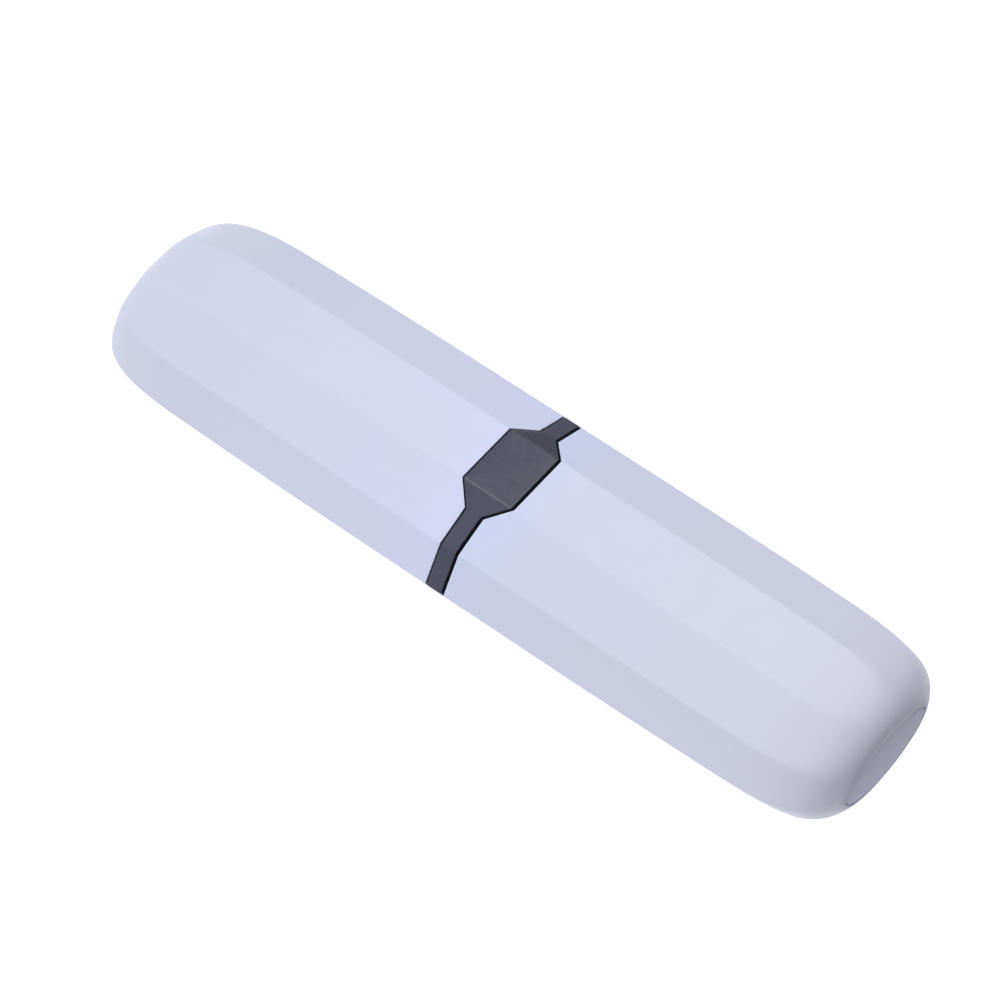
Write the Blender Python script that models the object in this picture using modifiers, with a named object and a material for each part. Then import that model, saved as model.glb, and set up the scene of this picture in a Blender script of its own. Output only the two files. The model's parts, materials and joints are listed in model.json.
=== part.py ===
"""Travel case that keeps toothbrushes clean with ultraviolet light.

The case is a flattened ten-sided capsule that lies along X on its bottom face. It comes apart
in the middle: the cap on the -X side holds the lamp and its electronics over the brush heads,
and the base on the +X side holds the handles. A dark collar with the power key joins them.
Lengths are in millimetres, measured from the case's long axis, and MM turns them to metres.
"""

from math import cos, pi, radians, sin, sqrt

import bmesh
import bpy
from mathutils import Vector

MM = 0.001

# The case's outline: a ten-sided section, barrelled slightly, with rounded and then flat ends.
LENGTH = 212.0
WIDTH = 56.6
HEIGHT = 33.0
SIDES = 10
WALL = 2.0
STRAIGHT_HALF = 26.0  # half of the middle stretch, where the section doesn't change
BARREL = 0.083  # share of its size that the section loses by the ends
ROUND_START = 71.0
ROUND_REACH = 36.13  # from ROUND_START to where the rounding would close
ROUND_LONG = 5.3
ROUND_CROSS = 3.74
ROUND_STEPS = 9
MELT_START = 84.0  # the ten edges melt away between here and the end
EDGE_CUT = 0.02  # share of a side that a sharp edge's flat takes
MELTED_CUT = 0.2563  # the same where twenty sides are equal
MELTED_SWELL = 0.023
MEAN_RADIUS = 20.0

END = LENGTH / 2
AXIS_HEIGHT = HEIGHT / 2
HALF_STEP = pi / SIDES
RADIUS_Y = WIDTH / 2
RADIUS_Z = AXIS_HEIGHT / cos(HALF_STEP)
EDGE_Y = RADIUS_Y * sin(HALF_STEP)  # where the top face ends
NEXT_EDGE_Y = RADIUS_Y * sin(3 * HALF_STEP)

GAP = 0.3  # between pieces that touch

# The belt round the middle, which widens to the key on the top face.
MOUTH = 2.65
PANEL = 7.45
PARTING = 0.5
WING_SHARE = 0.36  # share of the next face that the wing takes to narrow
WING_Y = EDGE_Y + WING_SHARE * (NEXT_EDGE_Y - EDGE_Y)
BELT = (-MOUTH + GAP, MOUTH - PARTING)
KEY = (-PANEL + GAP, PANEL - PARTING)

# The collar's sleeve.
SLEEVE_HALF = 12.0
SLEEVE_OUT = WALL + GAP
SLEEVE_IN = 4.0
SEAL_X = (8.8, 10.0)
POCKET_FLOOR = 13.3
POCKET_BACK = 14.0
FLOOR_UNDER = 12.5
STEM_RADIUS = 1.9
LEG_X = 4.9
LEG_THICK = 1.2
LEG_WIDE = 3.0
KEY_PLATE = 1.4
BOSS_Y = 13.4
BOSS_Z = 8.0

# The tray that carries the electronics.
TRAY_LOW = (3.4, 5.0)
TRAY_HIGH = (7.6, 9.4)
STEP_X = -60.0
TRAY_END = -95.0
TRAY_WALL = 1.5
SINK = 0.01  # joined walls stop this much short of each other's faces
BULKHEAD = (9.5, 11.0)
WINDOW_X = (-89.0, -65.0)
WINDOW_Y = 7.5
WINDOW_THICK = 0.7
WINDOW_LAP = 1.3  # how far the tray covers the window's edges
LAMP_X = (-84.0, -70.0)
LAMP_Y = (-4.5, 4.5)
LAMP_SIZE = 3.5
LAMP_Z = (9.6, 10.6)
LAMP_BOARD_Z = (10.9, 11.8)
LAMP_BOARD_SCREWS = ((-90.6, -6.5), (-63.4, 6.5))
MAIN_BOARD_Z = (6.1, 7.1)
MAIN_BOARD_SCREWS = ((-53.0, 7.5), (3.5, -7.5))
ON_BOARD = MAIN_BOARD_Z[1] + GAP
PILOT_RADIUS = 0.95
SHANK_RADIUS = 0.7
CLEAR_RADIUS = 1.0
DRIVE_SLOT = (1.6, 0.35)
DRIVE_DEPTH = 0.5
HOLE_SIDES = 12  # on the small pilot holes
RIBBON_WIDE = 6.0
RIBBON_HALF = 0.15

# The charging inlet in the cap's flat end.
PORT_Y = 4.47
PORT_Z = 1.63
PORT_SHEET = 0.35
PORT_ROUNDING = 0.9
COVER_Y = 5.9
COVER_Z = 2.9
COVER_THICK = 1.0
HINGE = (-END, 0.0, -COVER_Z - GAP / 2)

# The cradle in the base.
CHANNEL_RADIUS = 9.0
CHANNEL_Y = 12.3
CHANNEL_Z = -1.6
CRADLE = (13.5, 91.0)
CRADLE_SCREWS = (35.0, 78.0)
CRADLE_BOSS = 3.0
MAGNET_Z = 7.0
MAGNET_RADIUS = 2.0
MAGNET_POST = 5.0

# The pieces at the base's end.
BUMPER = (99.5, 103.4)
FOOT_RIM = 0.6  # of the shell left round the foot pad's recess
FOOT_DEPTH = 1.2

COLOURS = {
    "ice_plastic": ((0.70, 0.73, 0.86), 0.38, 0.0),
    "slate_plastic": ((0.095, 0.095, 0.125), 0.42, 0.0),
    "white_plastic": ((0.78, 0.80, 0.83), 0.45, 0.0),
    "silicone": ((0.55, 0.57, 0.66), 0.65, 0.0),
    "dark_silicone": ((0.06, 0.06, 0.08), 0.6, 0.0),
    "board": ((0.03, 0.16, 0.09), 0.4, 0.0),
    "white_board": ((0.80, 0.80, 0.78), 0.4, 0.0),
    "steel": ((0.62, 0.62, 0.63), 0.3, 1.0),
    "aluminium": ((0.88, 0.88, 0.90), 0.12, 1.0),
    "quartz": ((0.85, 0.90, 0.98), 0.05, 0.0),
    "foil": ((0.70, 0.72, 0.74), 0.35, 0.8),
    "chip": ((0.02, 0.02, 0.022), 0.5, 0.0),
    "foam": ((0.10, 0.10, 0.11), 0.9, 0.0),
    "ribbon": ((0.80, 0.42, 0.10), 0.4, 0.0),
    "lamp": ((0.88, 0.80, 0.52), 0.3, 0.0),
}


# ---- Scene set-up ---------------------------------------------------------------------------

for old in list(bpy.data.objects):
    bpy.data.objects.remove(old, do_unlink=True)

parts = bpy.data.collections.new("toothbrush_sanitizer")
tools = bpy.data.collections.new("cutters")
bpy.context.scene.collection.children.link(parts)
bpy.context.scene.collection.children.link(tools)


def make_materials():
    made = {}
    for name, (colour, roughness, metallic) in COLOURS.items():
        material = bpy.data.materials.new(name)
        material.use_nodes = True
        shader = material.node_tree.nodes["Principled BSDF"]
        shader.inputs["Base Color"].default_value = (*colour, 1.0)
        shader.inputs["Roughness"].default_value = roughness
        shader.inputs["Metallic"].default_value = metallic
        made[name] = material
    return made


def add_body(name, at):
    """An empty that carries one moving group, given its place from the case's axis."""
    empty = bpy.data.objects.new(name, None)
    empty.location = (Vector(at) + Vector((0, 0, AXIS_HEIGHT))) * MM
    parts.objects.link(empty)
    return empty


MATERIALS = make_materials()
BASE = add_body("base", (0, 0, 0))
CAP = add_body("cap", (0, 0, 0))
BUTTON = add_body("button", (0, 0, 0))
COVER = add_body("port_cover", HINGE)


# ---- Making and joining solids --------------------------------------------------------------

def place(name, mesh, centre, owner, material):
    """Adds a solid: a piece of its owner's if it has a material, or else a cutter."""
    solid = bpy.data.objects.new(name, mesh)
    body = owner or CAP
    solid.parent = body
    solid.location = (Vector(centre) + Vector((0, 0, AXIS_HEIGHT))) * MM - body.location
    if material:
        mesh.materials.append(MATERIALS[material])
        parts.objects.link(solid)
    else:
        solid.display_type = "WIRE"
        solid.hide_render = True
        tools.objects.link(solid)
    return solid


def box(name, x, y, z, owner=None, material=None):
    """A box between two limits along each axis."""
    spans = (x, y, z)
    mesh = bpy.data.meshes.new(name)
    shape = bmesh.new()
    bmesh.ops.create_cube(shape, size=MM)
    bmesh.ops.scale(shape, vec=[high - low for low, high in spans], verts=shape.verts)
    shape.to_mesh(mesh)
    shape.free()
    return place(name, mesh, [(low + high) / 2 for low, high in spans], owner, material)


def rod(name, axis, at, span, radius, owner=None, material=None, segments=24):
    """A cylinder along axis, where at is its place across that axis in X, Y, Z order."""
    mesh = bpy.data.meshes.new(name)
    shape = bmesh.new()
    depth = (span[1] - span[0]) * MM
    bmesh.ops.create_cone(
        shape, cap_ends=True, segments=segments, radius1=radius * MM, radius2=radius * MM, depth=depth
    )
    shape.to_mesh(mesh)
    shape.free()
    mesh.shade_smooth()
    mesh.set_sharp_from_angle(angle=radians(40))
    centre = list(at)
    centre.insert("XYZ".index(axis), (span[0] + span[1]) / 2)
    solid = place(name, mesh, centre, owner, material)
    solid.rotation_euler = {"X": (0, pi / 2, 0), "Y": (pi / 2, 0, 0), "Z": (0, 0, 0)}[axis]
    return solid


def prism(name, outline, span, upright=False, owner=None, material=None):
    """A flat outline made solid between two limits: in X and Y, or upright in X and Z."""
    curve = bpy.data.curves.new(name, "CURVE")
    curve.dimensions = "2D"
    curve.fill_mode = "BOTH"
    curve.extrude = (span[1] - span[0]) / 2 * MM
    spline = curve.splines.new("POLY")
    spline.points.add(len(outline) - 1)
    for point, (across, along) in zip(spline.points, outline):
        point.co = (across * MM, along * MM, 0, 1)
    spline.use_cyclic_u = True
    guide = bpy.data.objects.new(name + "_guide", curve)
    tools.objects.link(guide)
    depsgraph = bpy.context.evaluated_depsgraph_get()
    mesh = bpy.data.meshes.new_from_object(guide.evaluated_get(depsgraph))
    bpy.data.objects.remove(guide, do_unlink=True)
    shape = bmesh.new()
    shape.from_mesh(mesh)
    bmesh.ops.remove_doubles(shape, verts=shape.verts, dist=0.00001)
    bmesh.ops.recalc_face_normals(shape, faces=shape.faces)
    shape.to_mesh(mesh)
    shape.free()
    middle = (span[0] + span[1]) / 2
    solid = place(name, mesh, (0, middle, 0) if upright else (0, 0, middle), owner, material)
    if upright:
        solid.rotation_euler = (pi / 2, 0, 0)
    return solid


def combine(solid, tool, operation):
    modifier = solid.modifiers.new(operation.lower(), "BOOLEAN")
    modifier.operation = operation
    modifier.solver = "EXACT"
    modifier.object = tool


def cut(solid, *cutters):
    for tool in cutters:
        combine(solid, tool, "DIFFERENCE")


def join(solid, *additions):
    for tool in additions:
        combine(solid, tool, "UNION")


def trim(solid, limit):
    combine(solid, limit, "INTERSECT")


def soften(solid, width, segments=2):
    bevel = solid.modifiers.new("rounding", "BEVEL")
    bevel.width = width * MM
    bevel.segments = segments
    bevel.limit_method = "ANGLE"


# ---- The case's outline ---------------------------------------------------------------------

def section_scale(x):
    """How large the section is at x, against its size in the middle."""
    x = abs(x)
    barrel = 1 - BARREL * (max(0.0, x - STRAIGHT_HALF) / (END - STRAIGHT_HALF)) ** 2
    reach = max(0.0, x - ROUND_START) / ROUND_REACH
    return barrel * (1 - reach**ROUND_LONG) ** (1 / ROUND_CROSS)


def move_in(corners, inset):
    """The convex outline with every side moved in by inset."""
    count = len(corners)
    sides = []
    for k in range(count):
        along = (corners[(k + 1) % count] - corners[k]).normalized()
        outward = Vector((-along.y, along.x))
        sides.append((outward, outward.dot(corners[k]) - inset))
    moved = []
    for k in range(count):
        (a, reach_a), (b, reach_b) = sides[k - 1], sides[k]
        area = a.x * b.y - a.y * b.x
        moved.append(Vector((reach_a * b.y - reach_b * a.y, reach_b * a.x - reach_a * b.x)) / area)
    return moved


def section(x, inset=0.0):
    """Twenty points across and up round the case at x: two for each of the ten edges."""
    size = section_scale(x)
    turns = [(2 * k + 1) * HALF_STEP for k in range(SIDES)]
    corners = [Vector((RADIUS_Y * size * sin(t), RADIUS_Z * size * cos(t))) for t in turns]
    corners = move_in(corners, inset)
    share = min(1.0, max(0.0, (abs(x) - MELT_START) / (END - MELT_START)))
    melted = share * share * (3 - 2 * share)
    edge_cut = EDGE_CUT + (MELTED_CUT - EDGE_CUT) * melted
    points = []
    for k, corner in enumerate(corners):
        for neighbour in (corners[k - 1], corners[(k + 1) % SIDES]):
            points.append(corner.lerp(neighbour, edge_cut) * (1 + MELTED_SWELL * melted))
    return points


def stations(start, end):
    """The places along X where the outline needs a section."""
    one_side = [STRAIGHT_HALF, 45.0, 60.0]
    for k in range(ROUND_STEPS + 1):
        one_side.append(ROUND_START + (END - ROUND_START) * sin(k * pi / 2 / ROUND_STEPS))
    both = sorted([-x for x in one_side] + one_side)
    return [start] + [x for x in both if start < x < end] + [end]


def loft(name, rings, owner=None, material=None):
    """A solid through rings of equal count, each an x and its points."""
    mesh = bpy.data.meshes.new(name)
    shape = bmesh.new()
    rows = [[shape.verts.new(Vector((x, *point)) * MM) for point in points] for x, points in rings]
    for here, ahead in zip(rows, rows[1:]):
        for k in range(len(here)):
            shape.faces.new((here[k - 1], here[k], ahead[k], ahead[k - 1]))
    shape.faces.new(rows[0])
    shape.faces.new(rows[-1])
    bmesh.ops.recalc_face_normals(shape, faces=shape.faces)
    shape.to_mesh(mesh)
    shape.free()
    return place(name, mesh, (0, 0, 0), owner, material)


def filled_case(name, start, end, inset=0.0):
    """The space inside the case from start to end, a distance inset in from its surface."""
    rings = []
    for x in stations(start, end):
        side = 1 if x > 0 else -1
        slope = MEAN_RADIUS * (section_scale(x) - section_scale(x - side * 0.1)) / 0.1
        steep = sqrt(1 + slope * slope)
        if abs(x) >= END:
            rings.append((x - side * inset, section(x, inset)))
        else:
            rings.append((x + side * inset * slope / steep, section(x, inset / steep)))
    return loft(name, rings)


def half_shell(name, side, owner):
    """One half of the case, hollowed out and open at its mouth."""
    xs = stations(MOUTH, END)
    shell = loft(name, [(side * x, section(x)) for x in xs], owner, "ice_plastic")
    limits = sorted((side * (MOUTH - 1), side * END))
    cut(shell, filled_case(name + "_inside", *limits, WALL))
    notch = prism(
        name + "_notch",
        [(0, -WING_Y), (side * MOUTH, -WING_Y), (side * PANEL, -EDGE_Y),
         (side * PANEL, EDGE_Y), (side * MOUTH, WING_Y), (0, WING_Y)],
        (2.0, AXIS_HEIGHT + 3),
    )
    cut(shell, notch)
    return shell


# ---- The base -------------------------------------------------------------------------------

def make_base():
    shell = half_shell("base_shell", 1, BASE)
    for number, x in enumerate(CRADLE_SCREWS, 1):
        join(shell, rod(f"boss_{number}", "Z", (x, 0), (-15.0, -9.0), CRADLE_BOSS))
        pilot = rod(f"boss_pilot_{number}", "Z", (x, 0), (-13.0, -8.5), PILOT_RADIUS, segments=HOLE_SIDES)
        cut(shell, pilot)
    recess = [(x, section(END, FOOT_RIM)) for x in (END - FOOT_DEPTH, END + 1)]
    cut(shell, loft("foot_recess", recess))
    pad = [(x, section(END, FOOT_RIM + GAP)) for x in (END - FOOT_DEPTH + GAP, END)]
    loft("base_foot_pad", pad, BASE, "silicone")

    bumper = box("handle_bumper", BUMPER, (-30, 30), (-20, 20), BASE, "silicone")
    trim(bumper, filled_case("bumper_limit", 90.0, END, SLEEVE_OUT + 0.1))
    make_cradle()


def make_cradle():
    cradle = box("brush_cradle", CRADLE, (-30, 30), (-20, CHANNEL_Z), BASE, "white_plastic")
    trim(cradle, filled_case("cradle_limit", CRADLE[0] - 1, END, SLEEVE_OUT))
    for side in (-1, 1):
        at = (side * CHANNEL_Y, CHANNEL_Z)
        cut(cradle, rod(f"channel_{side}", "X", at, (10, 101), CHANNEL_RADIUS, segments=40))
    magnet = (CRADLE[0] + GAP, CRADLE[0] + GAP + 2.0)
    half = MAGNET_RADIUS + 1.4
    post = box("magnet_post", (CRADLE[0], CRADLE[0] + MAGNET_POST), (-half, half), (-5, MAGNET_Z + half))
    join(cradle, post)
    pocket_x = (CRADLE[0] - 1, magnet[1] + GAP)
    cut(cradle, rod("magnet_pocket", "X", (0, MAGNET_Z), pocket_x, MAGNET_RADIUS + GAP))
    for number, x in enumerate(CRADLE_SCREWS, 1):
        cut(
            cradle,
            rod(f"boss_space_{number}", "Z", (x, 0), (-20, -8.7), CRADLE_BOSS + GAP),
            rod(f"cradle_hole_{number}", "Z", (x, 0), (-9, -4), 1.2, segments=16),
            rod(f"head_space_{number}", "Z", (x, 0), (-5, 0), 2.3),
        )
        make_screw(f"cradle_screw_{number}", "Z", (x, 0), (-12.4, -4.4), (-4.7, -3.5), 1.9, BASE)
    rod("lid_magnet", "X", (0, MAGNET_Z), magnet, MAGNET_RADIUS, BASE, "steel")


def make_screw(name, axis, at, shank, head, head_radius, owner):
    """A pan-head screw with a cross recess; shank and head overlap where they meet."""
    screw = rod(name, axis, at, shank, SHANK_RADIUS, owner, "steel", segments=16)
    join(screw, rod(name + "_head", axis, at, head, head_radius, segments=20))
    depth = (head[1] - DRIVE_DEPTH, head[1] + 1)
    for turn, (wide, tall) in enumerate((DRIVE_SLOT, DRIVE_SLOT[::-1])):
        spans = [(at[0] - wide / 2, at[0] + wide / 2), (at[1] - tall / 2, at[1] + tall / 2)]
        spans.insert("XYZ".index(axis), depth)
        cut(screw, box(f"{name}_slot_{turn}", *spans))


# ---- The collar, its key and its seal -------------------------------------------------------

def make_collar():
    sleeve = [(x, section(x, SLEEVE_OUT)) for x in (-SLEEVE_HALF, SLEEVE_HALF)]
    collar = loft("mid_collar", sleeve, CAP, "slate_plastic")
    belt = loft("belt", [(x, section(x)) for x in BELT])
    wings = prism(
        "wings",
        [(KEY[0], -EDGE_Y), (BELT[0], -WING_Y), (BELT[1], -WING_Y), (KEY[1], -EDGE_Y),
         (KEY[1], EDGE_Y), (BELT[1], WING_Y), (BELT[0], WING_Y), (KEY[0], EDGE_Y)],
        (3.0, AXIS_HEIGHT + 3),
    )
    trim(wings, filled_case("wing_limit", -PANEL - 1, PANEL + 1))
    join(collar, belt, wings)
    cut(collar, filled_case("collar_bore", -SLEEVE_HALF - 1, SLEEVE_HALF + 1, SLEEVE_IN))
    cut(collar, box("key_pocket", (KEY[0] - 0.2, KEY[1] + 0.2), (-EDGE_Y, EDGE_Y), (POCKET_BACK, 20)))
    inner_x = (KEY[0] + 0.3, KEY[1] - 0.3)
    inner_y = (-EDGE_Y + 0.35, EDGE_Y - 0.35)
    cut(collar, box("key_pocket_inner", inner_x, inner_y, (POCKET_FLOOR, POCKET_BACK + 0.1)))
    cut(collar, *key_openings("floor", (FLOOR_UNDER - 1, POCKET_BACK)))

    groove = filled_case("seal_groove", SEAL_X[0] - 0.2, SEAL_X[1] + 0.2, 1.5)
    cut(groove, filled_case("groove_floor", SEAL_X[0] - 2, SEAL_X[1] + 2, 3.3))
    cut(collar, groove)
    for side in (-1, 1):
        at = (side * BOSS_Y, BOSS_Z)
        join(collar, rod(f"collar_boss_{side}", "X", at, (-1.0, BULKHEAD[0] - GAP), 2.7))
        pilot = rod(f"collar_pilot_{side}", "X", at, (2.0, 12.0), PILOT_RADIUS, segments=HOLE_SIDES)
        cut(collar, pilot)

    seal = loft("collar_seal", [(x, section(x, WALL + 0.15)) for x in SEAL_X], CAP, "dark_silicone")
    cut(seal, filled_case("seal_bore", SEAL_X[0] - 1, SEAL_X[1] + 1, 3.0))


def key_openings(name, height):
    """Openings under the key for its stem and its two legs."""
    stem = rod(name + "_stem_hole", "Z", (0, 0), height, STEM_RADIUS + 0.4)
    wide = LEG_WIDE / 2 + GAP
    thick = LEG_THICK / 2 + GAP
    slots = []
    for side in (-1, 1):
        x = (side * LEG_X - thick, side * LEG_X + thick)
        slots.append(box(f"{name}_leg_slot_{side}", x, (-wide, wide), height))
    return stem, *slots


def make_key():
    plate = (AXIS_HEIGHT - KEY_PLATE, AXIS_HEIGHT)
    reach = EDGE_Y - GAP
    key = box("button_key", KEY, (-reach, reach), plate, BUTTON, "slate_plastic")
    soften(key, 0.3)
    join(key, rod("key_stem", "Z", (0, 0), (12.2, plate[0] + 0.5), STEM_RADIUS))
    for side in (-1, 1):
        inner = side * (LEG_X - LEG_THICK / 2)
        outer = side * (LEG_X + LEG_THICK / 2)
        barb = side * (LEG_X + LEG_THICK / 2 + 0.8)
        wide = (-LEG_WIDE / 2, LEG_WIDE / 2)
        join(
            key,
            box(f"key_leg_{side}", sorted((inner, outer)), wide, (11.6, plate[0] + 0.5)),
            box(f"key_barb_{side}", sorted((inner, barb)), wide, (11.5, 12.2)),
        )

    membrane_x = (KEY[0] + 0.6, KEY[1] - 0.6)
    membrane_y = (-EDGE_Y + 0.65, EDGE_Y - 0.65)
    membrane_z = (POCKET_FLOOR + GAP, POCKET_FLOOR + GAP + 0.8)
    membrane = box("button_membrane", membrane_x, membrane_y, membrane_z, CAP, "dark_silicone")
    cut(membrane, *key_openings("membrane", (POCKET_FLOOR, POCKET_FLOOR + 3)))

    switch = box("tact_switch", (-3, 3), (-3, 3), (ON_BOARD, 10.9), CAP, "chip")
    cut(switch, rod("plunger_bore", "Z", (0, 0), (8.6, 12), 1.8))
    rod("switch_plunger", "Z", (0, 0), (9.4, 11.9), 1.5, BUTTON, "white_plastic")


# ---- The tray and what it carries -----------------------------------------------------------

def make_tray():
    full = (-30, 30)
    tray = box("electronics_tray", (STEP_X, BULKHEAD[1]), full, TRAY_LOW, CAP, "white_plastic")
    step_z = (TRAY_LOW[0] + SINK, TRAY_HIGH[1] - SINK)
    join(
        tray,
        box("tray_upper", (TRAY_END, STEP_X + 1), full, TRAY_HIGH),
        box("tray_step", (STEP_X - 0.4, STEP_X + TRAY_WALL), full, step_z),
        box("tray_end", (TRAY_END + SINK, TRAY_END + TRAY_WALL), full, (-20, TRAY_HIGH[1] - 0.5)),
        box("tray_bulkhead", BULKHEAD, full, (TRAY_LOW[0] + 2 * SINK, 20)),
    )
    room = filled_case("tray_room", -END, -SLEEVE_HALF - GAP, SLEEVE_OUT)
    join(room, filled_case("tray_room_collar", -SLEEVE_HALF - 2, SLEEVE_HALF, SLEEVE_IN + GAP))
    trim(tray, room)

    ledge = WINDOW_THICK + GAP
    rebate_x = (WINDOW_X[0] - GAP, WINDOW_X[1] + GAP)
    rebate_y = (-WINDOW_Y - GAP, WINDOW_Y + GAP)
    opening_x = (WINDOW_X[0] + WINDOW_LAP, WINDOW_X[1] - WINDOW_LAP)
    opening_y = (WINDOW_LAP - WINDOW_Y, WINDOW_Y - WINDOW_LAP)
    cut(
        tray,
        box("window_rebate", rebate_x, rebate_y, (TRAY_HIGH[0] - 1, TRAY_HIGH[0] + ledge)),
        box("window_opening", opening_x, opening_y, (TRAY_HIGH[0], 12)),
    )
    window_z = (TRAY_HIGH[0], TRAY_HIGH[0] + WINDOW_THICK)
    box("uv_window", WINDOW_X, (-WINDOW_Y, WINDOW_Y), window_z, CAP, "quartz")

    for name, places, floor, board in (
        ("lamp_post", LAMP_BOARD_SCREWS, TRAY_HIGH, LAMP_BOARD_Z),
        ("board_post", MAIN_BOARD_SCREWS, TRAY_LOW, MAIN_BOARD_Z),
    ):
        for number, at in enumerate(places, 1):
            top = board[0] - GAP
            hole = (floor[0] + 0.5, 12)
            join(tray, rod(f"{name}_{number}", "Z", at, (floor[0] + 0.8, top), 1.7))
            cut(tray, rod(f"{name}_pilot_{number}", "Z", at, hole, PILOT_RADIUS, segments=HOLE_SIDES))
    for side in (-1, 1):
        at = (side * BOSS_Y, BOSS_Z)
        cut(tray, rod(f"bulkhead_hole_{side}", "X", at, (8, 12), 1.1, segments=16))
        rail_y = sorted((side * 8.3, side * 9.8))
        join(tray, box(f"port_rail_{side}", (TRAY_END - 3.5, TRAY_END + 0.5), rail_y, (-5, 5)))
        number = 1 if side < 0 else 2
        make_screw(f"bulkhead_screw_{number}", "X", at, (3.0, 11.6), (11.3, 12.4), 1.7, CAP)


def make_lamp():
    x = (-92.5, -61.5)
    y = (-8.5, 8.5)
    board = box("uv_board", x, y, LAMP_BOARD_Z, CAP, "white_board")
    plate_x = (WINDOW_X[0] + 0.8, WINDOW_X[1] - 0.8)
    reflector = box("reflector_plate", plate_x, (-8, 8), (9.7, 10.0), CAP, "aluminium")
    number = 0
    for lamp_x in LAMP_X:
        for lamp_y in LAMP_Y:
            number += 1
            half = LAMP_SIZE / 2
            sides = (lamp_x - half, lamp_x + half), (lamp_y - half, lamp_y + half)
            lamp = box(f"uv_led_{number}", *sides, LAMP_Z, CAP, "lamp")
            cut(lamp, rod(f"lamp_cup_{number}", "Z", (lamp_x, lamp_y), (9, 10.0), 1.3, segments=16))
            half += 0.35
            sides = (lamp_x - half, lamp_x + half), (lamp_y - half, lamp_y + half)
            cut(reflector, box(f"lamp_opening_{number}", *sides, (9, 11)))
    for number, at in enumerate(LAMP_BOARD_SCREWS, 1):
        cut(board, rod(f"uv_board_hole_{number}", "Z", at, (10, 13), CLEAR_RADIUS, segments=16))
        make_screw(f"uv_board_screw_{number}", "Z", at, (8.4, 12.3), (12.1, 12.9), 1.5, CAP)


def make_boards():
    board = box("main_pcb", (-56, 6), (-10, 10), MAIN_BOARD_Z, CAP, "board")
    for number, at in enumerate(MAIN_BOARD_SCREWS, 1):
        cut(board, rod(f"pcb_hole_{number}", "Z", at, (5, 8), CLEAR_RADIUS, segments=16))
        make_screw(f"pcb_screw_{number}", "Z", at, (4.2, 7.7), (ON_BOARD, 8.4), 1.5, CAP)
    pad_top = ON_BOARD + 0.5
    box("battery_pad", (-48, -16), (-8, 8), (ON_BOARD, pad_top), CAP, "foam")
    cell = box("battery", (-50, -14), (-9, 9), (pad_top + GAP, 12.9), CAP, "foil")
    soften(cell, 1.2)
    box("control_chip", (-11, -6), (1, 6), (ON_BOARD, 8.4), CAP, "chip")
    coil = box("boost_inductor", (-11.2, -7.2), (-4.4, -0.4), (ON_BOARD, 9.9), CAP, "chip")
    soften(coil, 0.6)
    plug = box("battery_connector", (-12.4, -7.4), (-9.4, -5.4), (ON_BOARD, 9.8), CAP, "white_plastic")
    cut(plug, box("connector_mouth", (-14, -8.4), (-8.8, -6.0), (8.0, 9.2)))
    box("hall_sensor", (3.6, 5.4), (1.5, 4.5), (ON_BOARD, 8.4), CAP, "chip")

    port_board = (TRAY_END - 2.0, TRAY_END - 1.0)
    behind = port_board[0] - GAP
    box("usb_board", port_board, (-8, 8), (-5, 8), CAP, "board")
    box("status_led", (behind - 0.8, behind), (-0.8, 0.8), (5.6, 6.8), CAP, "lamp")
    wide = (-PORT_Y, PORT_Y)
    tall = (-PORT_Z, PORT_Z)
    socket = box("usb_c_socket", (-103.7, behind), wide, tall, CAP, "steel")
    soften(socket, PORT_ROUNDING, 3)
    mouth_y = (-PORT_Y + PORT_SHEET, PORT_Y - PORT_SHEET)
    mouth_z = (-PORT_Z + PORT_SHEET, PORT_Z - PORT_SHEET)
    cut(socket, box("socket_mouth", (-105, -98.6), mouth_y, mouth_z))
    join(socket, box("socket_tongue", (-103, -98), (-3.3, 3.3), (-0.35, 0.35)))


def ribbon(name, path):
    """A flat cable along a path in X and Z, given by its middle line."""
    one, other = [], []
    for k, (x, z) in enumerate(path):
        before = Vector(path[max(0, k - 1)])
        after = Vector(path[min(len(path) - 1, k + 1)])
        along = (after - before).normalized()
        across = Vector((-along.y, along.x)) * RIBBON_HALF
        one.append((x + across.x, z + across.y))
        other.append((x - across.x, z - across.y))
    prism(name, one + other[::-1], (-RIBBON_WIDE / 2, RIBBON_WIDE / 2), True, CAP, "ribbon")


def make_ribbons():
    above = LAMP_BOARD_Z[1] + GAP + RIBBON_HALF
    low = ON_BOARD + RIBBON_HALF
    rise = [(-56.6, low), (-57.4, low + 0.8), (-57.4, above - 0.8), (-58.2, above)]
    ribbon("led_ribbon", [(-51, low), *rise, (-66, above)])
    near = TRAY_END - 0.5
    ribbon("usb_ribbon", [(near, 2), (near, above - 0.9), (near + 0.8, above), (-86, above)])


# ---- The cap --------------------------------------------------------------------------------

def make_cap():
    shell = half_shell("cap_shell", -1, CAP)
    pocket_z = (HINGE[2] - 2.1, COVER_Z + GAP)
    pocket_y = (-COVER_Y - GAP, COVER_Y + GAP)
    cut(shell, box("port_pocket", (-END - 1, -END + COVER_THICK + GAP), pocket_y, pocket_z))
    hole_y = (-PORT_Y - GAP, PORT_Y + GAP)
    hole_z = (-PORT_Z - GAP, PORT_Z + GAP)
    hole = box("port_hole", (-END - 1, -END + 4), hole_y, hole_z)
    soften(hole, PORT_ROUNDING, 3)
    cut(shell, hole)

    outside = (-END, -END + COVER_THICK)
    cover = box("usb_port_cover", outside, (-COVER_Y, COVER_Y), (-COVER_Z, COVER_Z), COVER, "silicone")
    join(cover, box("cover_plug", (-END + 0.5, -END + 1.9), (-3.8, 3.8), (-0.95, 0.95)))
    anchor_z = (pocket_z[0] + GAP, HINGE[2] - GAP / 2)
    box("port_cover_anchor", outside, (-4, 4), anchor_z, CAP, "silicone")


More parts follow.
